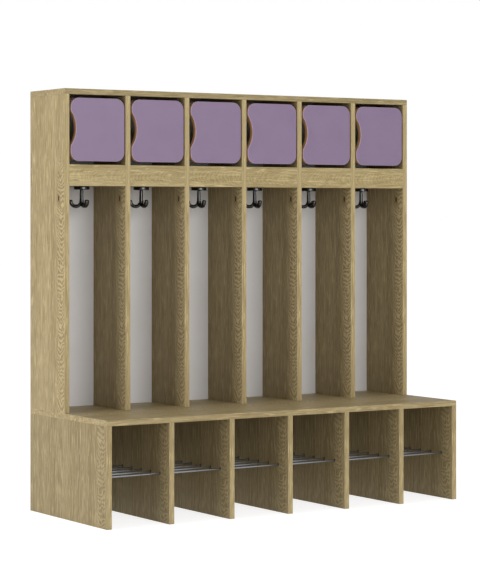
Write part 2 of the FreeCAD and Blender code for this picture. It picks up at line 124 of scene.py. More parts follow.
def faint(tree, mask, share):
    """A mask at less than its full strength."""
    return reckon(tree, "MULTIPLY", mask, share)


def built_up(tree, base, *layers):
    """A number that starts at base and takes on a share of each pattern."""
    for pattern, share in layers:
        base = reckon(tree, "MULTIPLY_ADD", pattern, share, base)
    return base


def split(tree, place):
    """The three parts of a place."""
    parts = tree.nodes.new("ShaderNodeSeparateXYZ")
    tree.links.new(place, parts.inputs[0])
    return tuple(parts.outputs)


def joined(tree, *numbers):
    """A place from its three parts."""
    return add(tree, "CombineXYZ", *numbers)


def start_group(name, inputs, outputs):
    """A shader node group with named sockets."""
    tree = bpy.data.node_groups.new(name, "ShaderNodeTree")
    for way, sockets in (("INPUT", inputs), ("OUTPUT", outputs)):
        for label, kind in sockets:
            tree.interface.new_socket(label, in_out=way, socket_type="NodeSocket" + kind)
    inside = tree.nodes.new("NodeGroupInput").outputs
    outside = tree.nodes.new("NodeGroupOutput").inputs
    return tree, inside, outside


def place_group(tree, group, **values):
    """Places a group in a tree and sets its inputs by name."""
    made = tree.nodes.new("ShaderNodeGroup")
    made.node_tree = group
    for label, value in values.items():
        socket = made.inputs[label.replace("_", " ")]
        if isinstance(value, bpy.types.NodeSocket):
            tree.links.new(value, socket)
        else:
            socket.default_value = value
    return made.outputs


def start_material(name, **shine):
    """An empty material: its tree, its shader's inputs and the place on the object."""
    material = bpy.data.materials.new(name)
    material.use_nodes = True
    tree = material.node_tree
    tree.nodes.clear()
    shader = tree.nodes.new("ShaderNodeBsdfPrincipled")
    output = tree.nodes.new("ShaderNodeOutputMaterial")
    tree.links.new(shader.outputs["BSDF"], output.inputs["Surface"])
    for label, value in shine.items():
        shader.inputs[label.replace("_", " ")].default_value = value
    here = tree.nodes.new("ShaderNodeTexCoord").outputs["Object"]
    return material, tree, shader.inputs, here


def surface(tree, finish, colour, roughness, relief, depth, strength=0.5):
    """Feeds the shader its colour, its roughness and a bump of that depth in metres."""
    tree.links.new(colour, finish["Base Color"])
    tree.links.new(roughness, finish["Roughness"])
    tree.links.new(add(tree, "Bump", strength, depth, None, relief), finish["Normal"])


def dress(name, material):
    """Gives a CAD node its finish."""
    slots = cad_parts[name].data.materials
    slots.clear()
    slots.append(material)


# The edge mask: 1 on a board's arrises and 0 a few millimetres in, with a ragged border,
# as hand sanding leaves it; the boards paint a paler arris with it, part wear and part
# painted highlight. Middle and Half give the board's box.
RAGGED = (190.0, 3.0)
RAGGED_REACH = 2.0
EDGE_RANGE = (1.0, 0.15)
edge_group, inside, outside = start_group(
    "board edges",
    [("Vector", "Vector"), ("Middle", "Vector"), ("Half", "Vector"), ("Width", "Float")],
    [("Edge", "Float")])
offset = reckon_place(edge_group, "ABSOLUTE",
                      reckon_place(edge_group, "SUBTRACT", inside["Vector"], inside["Middle"]))
x, y, z = split(edge_group, reckon_place(edge_group, "SUBTRACT", inside["Half"], offset))
second_nearest = reckon(edge_group, "MAXIMUM", reckon(edge_group, "MINIMUM", x, y),
                        reckon(edge_group, "MINIMUM", reckon(edge_group, "MAXIMUM", x, y), z))
ragged = noise(edge_group, inside["Vector"], *RAGGED)
reach = reckon(edge_group, "MULTIPLY", inside["Width"], faint(edge_group, ragged, RAGGED_REACH))
edge_group.links.new(
    between(edge_group, reckon(edge_group, "DIVIDE", second_nearest, reach), *EDGE_RANGE),
    outside["Edge"])

# The oak print, laid out as (across the grain, along it, through the board): growth lines
# that wrap round a knot, a band of nested flames, streaks, fibres and short dark pores.

# A GRAIN row is features per metre across and along the grain, detail, roughness, wobble;
# a RANGE is where a pattern starts to count and where it is full.
GROWTH_GRAIN = (6.5, 0.8, 1.5, 0.4, 0.25)
GROWTH_LINES = 250.0
GROWTH_FINENESS = 2.5
GROWTH_SHARE = 0.42
GROWTH_PATCH_GRAIN, GROWTH_PATCH_RANGE = (11.0, 1.1, 1.0), (0.35, 0.62)
KNOT_SWELL = 0.12
KNOT_FALL = -0.5
KNOT_RANGE = (0.48, 0.20)
KNOT_TONE = (0.24, 0.19, 0.15)
HALO_RANGE, HALO_SHARE = (1.5, 0.3), 0.45
FLAME_LINES = 400.0
FLAME_POINT = -7.0
FLAME_SHAKE_GRAIN, FLAME_SHAKE = (24.0, 17.0, 2.5, 0.6, 0.4), 30.0
FLAME_SIDE_RANGE = (1.7, 0.4)
FLAME_GAP_GRAIN, FLAME_GAP_RANGE = (17.0, 9.0, 2.0), (0.10, 0.52)
FLAME_TOP_RANGE = (1.20, 1.05)
FLAME_SHARE = 0.62
FLAME_FINENESS = 1.4
FLAME_TONE = (0.80, 0.77, 0.72)
BROAD_GRAIN, BROAD_RANGE, BROAD_SHARE = (16.0, 0.55, 2.0), (0.32, 0.68), 0.48
STREAK_GRAIN, STREAK_RANGE, STREAK_SHARE = (95.0, 1.5, 3.0, 0.6), (0.42, 0.74), 0.72
PALE_STREAK_GRAIN, PALE_STREAK_RANGE = (70.0, 2.0, 2.0, 0.6), (0.52, 0.78)
PALE_STREAK_SHARE = 0.50
DASH_GRAIN, DASH_RANGE, DASH_SHARE = (210.0, 13.0, 2.0, 0.6, 0.3), (0.49, 0.66), 0.72
PALE_DASH_GRAIN, PALE_DASH_RANGE = (180.0, 17.0, 2.0, 0.6, 0.4), (0.52, 0.68)
PALE_DASH_SHARE = 0.72
PALE_TONE = (1.36, 1.37, 1.36)
FIBRE_GRAIN, FIBRE_RANGE, FIBRE_SHARE = (620.0, 11.0, 3.0, 0.65), (0.45, 0.75), 0.24
FIBRE_RELIEF, FIBRE_ROUGH = 0.35, 0.16
PORE_GRAIN, PORE_RANGE, PORE_SHARE = (900.0, 34.0, 1.0), (0.62, 0.70), 0.5
PORES_EARLY, PORES_LATE = 0.9, -0.5
PORE_TONE = (0.52, 0.46, 0.38)
PORE_ROUGH = 0.18
MELAMINE_ROUGH = 0.36
oak, inside, outside = start_group(
    "oak print",
    [("Vector", "Vector"), ("Light", "Color"), ("Dark", "Color"), ("Knot", "Vector"),
     ("Knot size", "Vector"), ("Knot depth", "Float"), ("Flame place", "Float"),
     ("Flame width", "Float"), ("Flame strength", "Float")],
    [("Color", "Color"), ("Height", "Float"), ("Roughness", "Float")])


def grain(across, along, detail, rough=0.5, wobble=0.0):
    """Noise drawn out along the grain; across and along are its features per metre."""
    return noise(oak, inside["Vector"], (across, along, across), detail, rough, wobble)


def layer(grain_row, limits):
    """One layer of the print: its noise, cut to its range."""
    return between(oak, grain(*grain_row), *limits)


def darken(wood, mask, share):
    """Takes the wood towards its dark shade."""
    return tint(oak, faint(oak, mask, share), wood, inside["Dark"])


def toned(shade, tone):
    """One of the board's two shades, made darker or paler."""
    return reckon_place(oak, "MULTIPLY", inside[shade], tone)


from_knot = reckon_place(oak, "DIVIDE",
                         reckon_place(oak, "SUBTRACT", inside["Vector"], inside["Knot"]),
                         inside["Knot size"])
length = oak.nodes.new("ShaderNodeVectorMath")
length.operation = "LENGTH"
oak.links.new(from_knot, length.inputs[0])
away = length.outputs["Value"]
swell = reckon(oak, "EXPONENT", faint(oak, reckon(oak, "MULTIPLY", away, away), KNOT_FALL))
field = reckon(oak, "ADD", grain(*GROWTH_GRAIN),
               reckon(oak, "MULTIPLY", faint(oak, swell, KNOT_SWELL), inside["Knot depth"]))
rings = reckon(oak, "POWER", wave(oak, faint(oak, field, GROWTH_LINES)), GROWTH_FINENESS)
growth = reckon(oak, "MULTIPLY", rings, layer(GROWTH_PATCH_GRAIN, GROWTH_PATCH_RANGE))

across, along = split(oak, inside["Vector"])[:2]
aside = reckon(oak, "DIVIDE", reckon(oak, "SUBTRACT", across, inside["Flame place"]),
               inside["Flame width"])
aside_squared = reckon(oak, "MULTIPLY", aside, aside)
turns = reckon(oak, "MULTIPLY_ADD", along, FLAME_LINES, faint(oak, aside_squared, FLAME_POINT))
turns = reckon(oak, "ADD", turns, faint(oak, grain(*FLAME_SHAKE_GRAIN), FLAME_SHAKE))
flames = wave(oak, turns)
in_flames = reckon(oak, "MULTIPLY", between(oak, aside_squared, *FLAME_SIDE_RANGE),
                   layer(FLAME_GAP_GRAIN, FLAME_GAP_RANGE))
in_flames = reckon(oak, "MULTIPLY", in_flames, inside["Flame strength"])
in_flames = reckon(oak, "MULTIPLY", in_flames, between(oak, along, *FLAME_TOP_RANGE))
in_flames = faint(oak, in_flames, FLAME_SHARE)

fibres = grain(*FIBRE_GRAIN)
pores = reckon(oak, "MULTIPLY", layer(PORE_GRAIN, PORE_RANGE),
               reckon(oak, "MULTIPLY_ADD", rings, PORES_LATE, PORES_EARLY))

pale = toned("Light", PALE_TONE)
wood = darken(inside["Light"], layer(BROAD_GRAIN, BROAD_RANGE), BROAD_SHARE)
wood = darken(wood, layer(STREAK_GRAIN, STREAK_RANGE), STREAK_SHARE)
pale_streaks = layer(PALE_STREAK_GRAIN, PALE_STREAK_RANGE)
wood = tint(oak, faint(oak, pale_streaks, PALE_STREAK_SHARE), wood, pale)
wood = darken(wood, growth, GROWTH_SHARE)
wood = darken(wood, layer(DASH_GRAIN, DASH_RANGE), DASH_SHARE)
pale_dashes = layer(PALE_DASH_GRAIN, PALE_DASH_RANGE)
wood = tint(oak, faint(oak, pale_dashes, PALE_DASH_SHARE), wood, pale)
wood = darken(wood, between(oak, fibres, *FIBRE_RANGE), FIBRE_SHARE)
for lines, tone in ((flames, pale),
                    (reckon(oak, "SUBTRACT", 1.0, flames), toned("Dark", FLAME_TONE))):
    share = reckon(oak, "MULTIPLY", in_flames, reckon(oak, "POWER", lines, FLAME_FINENESS))
    wood = tint(oak, share, wood, tone)
wood = tint(oak, faint(oak, pores, PORE_SHARE), wood, toned("Dark", PORE_TONE))
halo = reckon(oak, "MULTIPLY", between(oak, away, *HALO_RANGE), inside["Knot depth"])
knot = reckon(oak, "MULTIPLY", between(oak, away, *KNOT_RANGE), inside["Knot depth"])
wood = darken(wood, halo, HALO_SHARE)
wood = tint(oak, knot, wood, toned("Dark", KNOT_TONE))
oak.links.new(wood, outside["Color"])
oak.links.new(reckon(oak, "SUBTRACT", faint(oak, fibres, FIBRE_RELIEF), pores),
              outside["Height"])
oak.links.new(built_up(oak, MELAMINE_ROUGH, (fibres, FIBRE_ROUGH), (pores, PORE_ROUGH)),
              outside["Roughness"])

# One board's finish: the print along its length, made lighter or darker per board by shade,
# which is painted light and shade; the band on its front edge, lightened as painted light,
# with the thin dark glue seam beside it; paler arrises, part wear and part painted
# highlight; and darker patches in the lowest few centimetres.
OAK_LIGHT = (0.352, 0.281, 0.153)
OAK_DARK = (0.212, 0.157, 0.070)
OAK_SHEEN = 0.18
BOARD_IS_THIN = 0.03
BAND_RANGE = (0.00105, 0.00085)
# The band's tint: a yellower print, and lighter as painted light on the faces towards the front.
BAND_TINT_AND_PAINTED_LIGHT = (1.08, 1.075, 1.02)
BAND_PRINT_SHIFT = 0.2
SEAM = (0.12, 0.085, 0.045)
SEAM_STARTS, SEAM_ENDS, SEAM_SHARE = (0.0009, 0.00105), (0.0014, 0.00115), 0.55
# A paler tone on the arrises: part wear, part painted highlight.
ARRIS_WEAR_AND_HIGHLIGHT = (0.47, 0.40, 0.26)
ARRIS_WEAR_AND_HIGHLIGHT_WIDTH, ARRIS_WEAR_AND_HIGHLIGHT_SHARE = 0.0011, 0.30
# Patches that darken the boards within a few centimetres of the floor and polish them here and
# there.
BLOTCHES = (9.0, 4.0, 0.6)
FOOT_DARKENING = (0.14, 0.105, 0.06)
FOOT_DARKENING_HEIGHT, FOOT_DARKENING_RANGE, FOOT_DARKENING_SHARE = 0.030, (0.35, 0.7), 0.35
SMUDGE_RANGE, SMUDGE_POLISH = (0.5, 0.75), 0.07
PRINT_RELIEF, PRINT_STRENGTH = 0.00008, 0.6
OFF_THE_BOARD = 9.0
NO_KNOT = (0.0, 0.0, OFF_THE_BOARD)


def oak_board(name, shade=1.0, band_painted_light=1.0, knot=NO_KNOT, knot_size=(1, 1, 1),
              knot_depth=0.0, flame_place=OFF_THE_BOARD, flame_width=0.03,
              flame_strength=0.0):
    """Finishes one board; the knot and the flames are placed in the print's layout."""
    # shade scales the whole print of one board: painted light and shade, set per board for how
    # brightly it is lit
    light, dark = ([part * shade for part in tone] + [1] for tone in (OAK_LIGHT, OAK_DARK))
    # the band tint scaled per board: a yellower print plus painted light on the front edge
    band_tint_and_painted_light = [part * band_painted_light for part in BAND_TINT_AND_PAINTED_LIGHT]
    low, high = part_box(name)
    size = high - low
    material, tree, finish, here = start_material("oak " + name)
    x, y, z = split(tree, here)
    from_front = reckon(tree, "SUBTRACT", y, low.y)
    band = between(tree, from_front, *BAND_RANGE)
    if size.x < BOARD_IS_THIN:
        through = reckon(tree, "SUBTRACT", x, low.x)
        shift = reckon(tree, "MULTIPLY", band, reckon(tree, "ADD", through, BAND_PRINT_SHIFT))
        layout = joined(tree, reckon(tree, "ADD", y, shift), z, through)
    elif size.y < BOARD_IS_THIN:
        layout = joined(tree, z, x, y)
    else:
        layout = joined(tree, y, x, z)
    print_out = place_group(tree, oak, Vector=layout, Light=light, Dark=dark, Knot=knot,
                            Knot_size=knot_size, Knot_depth=knot_depth,
                            Flame_place=flame_place, Flame_width=flame_width,
                            Flame_strength=flame_strength)
    colour = print_out["Color"]
    # The front band, and the whole of each rail: yellower print with painted light.
    banded_and_painted_light = tint(tree, 1.0, colour, band_tint_and_painted_light, "MULTIPLY")
    if size.y < BOARD_IS_THIN:
        colour = banded_and_painted_light
    else:
        colour = tint(tree, band, colour, banded_and_painted_light)
        seam = reckon(tree, "MULTIPLY", between(tree, from_front, *SEAM_STARTS),
                      between(tree, from_front, *SEAM_ENDS))
        colour = tint(tree, faint(tree, seam, SEAM_SHARE), colour, SEAM)
    # Paler arrises: part wear, part painted highlight where the rounded edges catch the light.
    wear_and_highlight = place_group(tree, edge_group, Vector=here, Middle=(low + high) / 2, Half=size / 2,
                       Width=ARRIS_WEAR_AND_HIGHLIGHT_WIDTH)["Edge"]
    colour = tint(tree, faint(tree, wear_and_highlight, ARRIS_WEAR_AND_HIGHLIGHT_SHARE), colour, ARRIS_WEAR_AND_HIGHLIGHT)
    # Darker in patches within 3 cm of the floor.
    blotches = noise(tree, here, *BLOTCHES)
    foot_darkening = reckon(tree, "MULTIPLY", between(tree, z, FOOT_DARKENING_HEIGHT, 0.0),
                   between(tree, blotches, *FOOT_DARKENING_RANGE))
    colour = tint(tree, faint(tree, foot_darkening, FOOT_DARKENING_SHARE), colour, FOOT_DARKENING)
    smudge = faint(tree, between(tree, blotches, *SMUDGE_RANGE), SMUDGE_POLISH)
    surface(tree, finish, colour, reckon(tree, "SUBTRACT", print_out["Roughness"], smudge),
            print_out["Height"], PRINT_RELIEF, PRINT_STRENGTH)
    finish["Specular IOR Level"].default_value = OAK_SHEEN
    dress(name, material)


tower_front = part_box("tower_side_left")[0].y
bench_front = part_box("bench_side_left")[0].y
# The shade of each group below is painted light and shade: the bench uprights darker for the
# shade under the seat, the seat lighter, the cover darker. The band setting is painted light on
# each front edge.
TOWER_UPRIGHT = {
    "shade": 1.0, "band_painted_light": 1.04,
    "knot": (0.060, 1.018, 0.0), "knot_size": (0.016, 0.028, 0.03), "knot_depth": 1.0,
    "flame_place": tower_front + 0.025, "flame_width": 0.025, "flame_strength": 1.0}
BENCH_UPRIGHT = {
    "shade": 0.86, "band_painted_light": 1.08,
    "knot": (0.045, 0.235, 0.0), "knot_size": (0.010, 0.060, 0.05), "knot_depth": 0.25,
    "flame_place": bench_front + 0.036, "flame_width": 0.026, "flame_strength": 0.7}
SEAT = {
    "shade": 1.04, "band_painted_light": 0.83,
    "flame_place": bench_front + 0.20, "flame_width": 0.05, "flame_strength": 0.7}
COVER = {"shade": 0.95, "band_painted_light": 0.81}
RAIL = {"flame_place": 1.088, "flame_width": 0.022, "flame_strength": 0.3}
BAYS = range(1, 7)
for upright in ["side_left"] + ["divider_%d" % bay for bay in BAYS[:-1]] + ["side_right"]:
    oak_board("tower_" + upright, **TOWER_UPRIGHT)
    oak_board("bench_" + upright, **BENCH_UPRIGHT)
oak_board("bench_top", **SEAT)
oak_board("top_panel", **COVER)
for bay in BAYS:
    oak_board("locker_shelf_%d" % bay)
    oak_board("apron_%d" % bay, **RAIL)

# Back sheets: 3 mm hardboard slid into grooves, lacquered pale warm grey on the face
# towards the bays and left raw and brown behind, with the press screen's fine mesh.
SHEET_GREY = (0.540, 0.523, 0.513)
SHEET_SHADE = (0.512, 0.494, 0.479)
SHEET_SCUFF = (0.56, 0.54, 0.50)
SHEET_RAW = (0.17, 0.095, 0.045)
RAW_LIGHT = (0.25, 0.15, 0.08)
RAW_DARK = (0.12, 0.066, 0.03)
RAW_RANGE = (0.0004, 0.0008)
SHEET_CLOUDS, SHEET_CLOUD_RANGE = (5.0, 4.0, 0.55), (0.35, 0.7)
SPECKLE, SPECKLE_RANGE = (900.0, 2.0, 0.6), (0.35, 0.7)
SCUFFS, SCUFF_RANGE, SCUFF_SHARE = ((60.0, 60.0, 7.0), 4.0, 0.7, 1.5), (0.64, 0.72), 0.18
RAW_DARK_SHARE = 0.5
SCREEN_WIRES = 2500.0
ORANGE_PEEL, PEEL_SHARE = 420.0, 0.4
LACQUER_ROUGH, CLOUDS_ROUGH, RAW_ROUGH = 0.40, 0.12, 0.30
SHEET_RELIEF = 0.0001
sheet_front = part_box("tower_back_panel")[0].y
material, tree, finish, here = start_material("lacquered hardboard")
x, y, z = split(tree, here)
raw = between(tree, reckon(tree, "SUBTRACT", y, sheet_front), *RAW_RANGE)
cloudy = noise(tree, here, *SHEET_CLOUDS)
speckle = noise(tree, here, *SPECKLE)
orange_peel = noise(tree, here, ORANGE_PEEL)
scuffs = between(tree, noise(tree, here, *SCUFFS), *SCUFF_RANGE)
face = tint(tree, between(tree, cloudy, *SHEET_CLOUD_RANGE), SHEET_GREY, SHEET_SHADE)
face = tint(tree, faint(tree, scuffs, SCUFF_SHARE), face, SHEET_SCUFF)
rear = tint(tree, between(tree, speckle, *SPECKLE_RANGE), SHEET_RAW, RAW_LIGHT)
rear = tint(tree, faint(tree, cloudy, RAW_DARK_SHARE), rear, RAW_DARK)
screen = reckon(tree, "MULTIPLY", reckon(tree, "SINE", faint(tree, x, SCREEN_WIRES)),
                reckon(tree, "SINE", faint(tree, z, SCREEN_WIRES)))
relief = reckon(tree, "ADD", faint(tree, orange_peel, PEEL_SHARE),
                reckon(tree, "MULTIPLY", screen, raw))
surface(tree, finish, tint(tree, raw, face, rear),
        built_up(tree, LACQUER_ROUGH, (cloudy, CLOUDS_ROUGH), (raw, RAW_ROUGH)),
        relief, SHEET_RELIEF)
dress("tower_back_panel", material)
dress("bench_back_panel", material)

# Locker doors: 18 mm fibreboard faced on both sides with violet laminate; the outline and
# the wave-shaped finger hollow are routed, and the edge is left brown under clear lacquer.
VIOLET = (0.183, 0.126, 0.207)
VIOLET_SHADE = (0.173, 0.118, 0.197)
VIOLET_PEARL = (0.29, 0.22, 0.33)
# A paler violet for the rounded rim of each face: a painted highlight.
VIOLET_PAINTED_HIGHLIGHT = (0.36, 0.27, 0.40)
EDGE_BROWN = (0.62, 0.36, 0.17)
EDGE_DARK = (0.40, 0.20, 0.08)
CORE_RANGE = (0.0009, 0.0012)
HIGHLIGHT_STARTS, HIGHLIGHT_ENDS, HIGHLIGHT_SHARE = (0.00002, 0.0003), (0.0012, 0.0009), 0.9
PEARL, PEARL_RANGE, PEARL_SHARE = (1500.0, 2.0, 0.6), (0.5, 0.8), 0.16
DOOR_CLOUDS, DOOR_CLOUD_RANGE = (14.0, 4.0, 0.6), (0.3, 0.75)
EDGE_FIBRE, EDGE_FIBRE_RANGE = ((260.0, 1500.0, 260.0), 3.0, 0.65), (0.3, 0.75)
PEARL_RELIEF, EDGE_RELIEF = 0.5, 1.6
HANDLED_RANGE = (0.45, 0.72)
LAMINATE_ROUGH, HANDLED_ROUGH, EDGE_ROUGH = 0.46, -0.09, -0.06
FACE_COAT, EDGE_COAT, COAT_ROUGH = 0.05, 0.25, 0.2
DOOR_RELIEF, DOOR_STRENGTH = 0.00006, 0.6
for bay in BAYS:
    name = "door_%d" % bay
    low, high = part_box(name)
    material, tree, finish, here = start_material("violet laminate %d" % bay,
                                                  Coat_Roughness=COAT_ROUGH)
    y = split(tree, here)[1]
    depth = reckon(tree, "MINIMUM", reckon(tree, "SUBTRACT", y, low.y),
                   reckon(tree, "SUBTRACT", high.y, y))
    core = between(tree, depth, *CORE_RANGE)
    # A paler violet line on the rounded rim just behind each face: a painted highlight.
    rim_highlight = reckon(tree, "MULTIPLY", between(tree, depth, *HIGHLIGHT_STARTS),
                 between(tree, depth, *HIGHLIGHT_ENDS))
    pearl = noise(tree, here, *PEARL)
    cloudy = noise(tree, here, *DOOR_CLOUDS)
    face = tint(tree, between(tree, cloudy, *DOOR_CLOUD_RANGE), VIOLET, VIOLET_SHADE)
    face = tint(tree, faint(tree, between(tree, pearl, *PEARL_RANGE), PEARL_SHARE), face,
                VIOLET_PEARL)
    face = tint(tree, faint(tree, rim_highlight, HIGHLIGHT_SHARE), face, VIOLET_PAINTED_HIGHLIGHT)
    fibre = noise(tree, here, *EDGE_FIBRE)
    edge = tint(tree, between(tree, fibre, *EDGE_FIBRE_RANGE), EDGE_BROWN, EDGE_DARK)
    relief = reckon(tree, "ADD", faint(tree, pearl, PEARL_RELIEF),
                    faint(tree, reckon(tree, "MULTIPLY", fibre, core), EDGE_RELIEF))
    handled = between(tree, cloudy, *HANDLED_RANGE)
    surface(tree, finish, tint(tree, core, face, edge),
            built_up(tree, LAMINATE_ROUGH, (handled, HANDLED_ROUGH), (core, EDGE_ROUGH)),
            relief, DOOR_RELIEF, DOOR_STRENGTH)
    tree.links.new(built_up(tree, FACE_COAT, (core, EDGE_COAT)), finish["Coat Weight"])
    dress(name, material)

# Concealed hinges: nickel-plated pressed steel, the cup and flange in the door, a curved
# link, a cranked arm and a cross-shaped plate screwed to the upright.
NICKEL = (0.66, 0.645, 0.61)
NICKEL_SHADE = (0.55, 0.53, 0.49)
NICKEL_RUBBED = (0.42, 0.41, 0.39)
NICKEL_CLOUDS, NICKEL_CLOUD_RANGE = (70.0, 4.0, 0.6), (0.3, 0.75)
RUBS, RUB_RANGE, RUB_SHARE = ((150.0, 900.0, 900.0), 3.0, 0.6), (0.55, 0.8), 0.3
NICKEL_ROUGH, CLOUD_ROUGH, RUB_ROUGH = 0.12, 0.16, 0.16
NICKEL_RELIEF, NICKEL_STRENGTH = 0.00002, 0.4
material, tree, finish, here = start_material("nickel plate", Metallic=1.0)
cloudy = noise(tree, here, *NICKEL_CLOUDS)
rubbed = noise(tree, here, *RUBS)
colour = tint(tree, between(tree, cloudy, *NICKEL_CLOUD_RANGE), NICKEL, NICKEL_SHADE)
colour = tint(tree, faint(tree, between(tree, rubbed, *RUB_RANGE), RUB_SHARE), colour,
              NICKEL_RUBBED)
surface(tree, finish, colour,
        built_up(tree, NICKEL_ROUGH, (cloudy, CLOUD_ROUGH), (rubbed, RUB_ROUGH)),
        rubbed, NICKEL_RELIEF, NICKEL_STRENGTH)
dress("hinge_arms", material)
dress("hinge_plates", material)
for bay in BAYS:
    dress("hinge_cups_%d" % bay, material)
    dress("hinge_links_%d" % bay, material)

# Coat hooks: one glossy black moulding each, hung from the locker floor. A round base with
# a softened lower rim, a stem that thickens downwards, and three flattened J-shaped prongs.
BASE_RADIUS = 0.0260
BASE_THICKNESS = 0.0110
BASE_ROUND = 0.0018
BASE_ROUND_STEPS = 6
BASE_SIDES, STEM_SIDES, PRONG_SIDES, SINK_SIDES = 96, 32, 36, 32
# Each step down the stem: how far under the locker floor, and the radius there.
STEM = ((0.0080, 0.0054), (0.0110, 0.0062), (0.0130, 0.0054), (0.0220, 0.0057), (0.0300, 0.0060),
        (0.0400, 0.0063), (0.0484, 0.0069), (0.0522, 0.0060), (0.0550, 0.0032))
CURVE_DROP = 0.0484
CURVE_START = 0.0018
CURVE_RADIUS = 0.0165
CURVE_STEPS = 26
PRONG_HALF_WIDTH = 0.0071
PRONG_HALF_THICKNESS = 0.0059
TIP_RISE = 0.0056
TIP_TURNS = (20, 40, 58, 72, 83)
PRONG_TURN = math.radians(120)
MOULD_GRAIN = 0.0008
MOULD_SMOOTHING, MOULD_SMOOTHINGS = 0.5, 7
HOOK_CREASE = math.radians(40)
SCREW_CIRCLE = 0.018
SCREW_TURNS = (90, 210, 330)
SINK_RADIUS, SINK_FLOOR = 0.0040, 0.0016
SINK_DEPTH = 0.0024
SINK_OVER = 0.0005
HAIR = 1e-5
SAME_POINT = 1e-6


def settle():
    """Puts the active piece's place into its mesh."""
    bpy.ops.object.mode_set(mode="OBJECT")
    bpy.ops.object.transform_apply(location=True, rotation=True, scale=True)
    return bpy.context.object


def open_up():
    """Takes the active piece into edit mode with all of it selected."""
    bpy.ops.object.mode_set(mode="EDIT")
    bpy.ops.mesh.select_all(action="SELECT")


def pick(kind, wanted):
    """In edit mode, selects the active piece's edges or faces for which wanted holds."""
    bpy.ops.object.mode_set(mode="EDIT")
    bpy.ops.mesh.select_mode(type={"edges": "EDGE", "faces": "FACE"}[kind])
    bpy.ops.mesh.select_all(action="DESELECT")
    mesh = bmesh.from_edit_mesh(bpy.context.object.data)
    for element in getattr(mesh, kind):
        element.select_set(wanted(element))
    mesh.select_flush_mode()
    bmesh.update_edit_mesh(bpy.context.object.data)


def draw_out(rise, widen, middle, top):
    """Extrudes what is selected upwards by rise, and widens its new end about its middle."""
    bpy.ops.mesh.extrude_region_move(TRANSFORM_OT_translate={"value": (0, 0, rise)})
    bpy.ops.transform.resize(value=(widen, widen, 1), center_override=(*middle, top))


def gather(pieces):
    """Joins pieces into the first one."""
    bpy.ops.object.select_all(action="DESELECT")
    for piece in pieces:
        piece.select_set(True)
    bpy.context.view_layer.objects.active = pieces[0]
    bpy.ops.object.join()
    return bpy.context.object


def finish_with(piece, kind, **settings):
    """Applies one modifier to a piece."""
    bpy.ops.object.select_all(action="DESELECT")
    piece.select_set(True)
    bpy.context.view_layer.objects.active = piece
    modifier = piece.modifiers.new(kind.lower(), kind)
    for setting, value in settings.items():
        setattr(modifier, setting, value)
    bpy.ops.object.modifier_apply(modifier=modifier.name)


def copy_to(piece, name, shift, turn=0.0, pivot=(0, 0, 0)):
    """A copy with its own mesh, turned about an upright axis at pivot and then shifted."""
    twin = piece.copy()
    twin.data = piece.data.copy()
    twin.name = name
    bpy.context.collection.objects.link(twin)
    to_pivot = Matrix.Translation(pivot)
    twin.data.transform(Matrix.Translation(shift) @ to_pivot @ Matrix.Rotation(turn, 4, "Z")
                        @ to_pivot.inverted())
    return twin


def coat(piece, material):
    """Gives a new piece its finish."""
    piece.data.materials.clear()
    piece.data.materials.append(material)


def bay_middle(bay):
    """The middle of a bay's hook, from left to right."""
    low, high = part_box("coat_hook_%d" % bay)
    return (low.x + high.x) / 2


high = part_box("coat_hook_1")[1]
hook_x = bay_middle(1)
hook_y = high.y - BASE_RADIUS
hook_top = high.z
under = hook_top - BASE_THICKNESS

bpy.ops.mesh.primitive_cylinder_add(vertices=BASE_SIDES, radius=BASE_RADIUS,
                                    depth=BASE_THICKNESS,
                                    location=(hook_x, hook_y, hook_top - BASE_THICKNESS / 2))
base = settle()
pick("edges", lambda edge: all(vert.co.z < under + HAIR for vert in edge.verts))
bpy.ops.mesh.bevel(offset=BASE_ROUND, segments=BASE_ROUND_STEPS, affect="EDGES")
settle()

drop, radius = STEM[0]
bpy.ops.mesh.primitive_circle_add(vertices=STEM_SIDES, radius=radius, fill_type="NGON",
                                  location=(hook_x, hook_y, hook_top - drop))
stem = settle()
open_up()
for next_drop, next_radius in STEM[1:]:
    draw_out(drop - next_drop, next_radius / radius, (hook_x, hook_y), hook_top - next_drop)
    drop, radius = next_drop, next_radius
settle()

prong_y = hook_y - CURVE_START
prong_z = hook_top - CURVE_DROP
bpy.ops.mesh.primitive_circle_add(vertices=PRONG_SIDES, radius=1, fill_type="NGON",
                                  location=(hook_x, prong_y, prong_z))
bpy.ops.transform.resize(value=(PRONG_HALF_WIDTH, PRONG_HALF_THICKNESS, 1))
prong = settle()
open_up()
bpy.ops.mesh.spin(steps=CURVE_STEPS, angle=math.pi, axis=(1, 0, 0),
                  center=(hook_x, prong_y - CURVE_RADIUS, prong_z))
tip_y = prong_y - 2 * CURVE_RADIUS
rise, width = 0.0, 1.0
for turn in TIP_TURNS:
    next_rise = TIP_RISE * math.sin(math.radians(turn))
    next_width = math.cos(math.radians(turn))
    draw_out(next_rise - rise, next_width / width, (hook_x, tip_y), prong_z + next_rise)
    rise, width = next_rise, next_width
settle()
axis = (hook_x, hook_y, 0)
prongs = [prong] + [copy_to(prong, "prong", (0, 0, 0), side * PRONG_TURN, axis)
                    for side in (1, -1)]

hook = gather([base, stem] + prongs)
open_up()
bpy.ops.mesh.remove_doubles(threshold=SAME_POINT)
bpy.ops.mesh.normals_make_consistent(inside=False)
settle()
finish_with(hook, "REMESH", mode="VOXEL", voxel_size=MOULD_GRAIN)
finish_with(hook, "SMOOTH", factor=MOULD_SMOOTHING, iterations=MOULD_SMOOTHINGS)


def screw_places(middle_x, z):
    """Where one hook's three screws enter its base."""
    places = []
    for turn in SCREW_TURNS:
        places.append((middle_x + SCREW_CIRCLE * math.cos(math.radians(turn)),
                       hook_y + SCREW_CIRCLE * math.sin(math.radians(turn)), z))
    return places


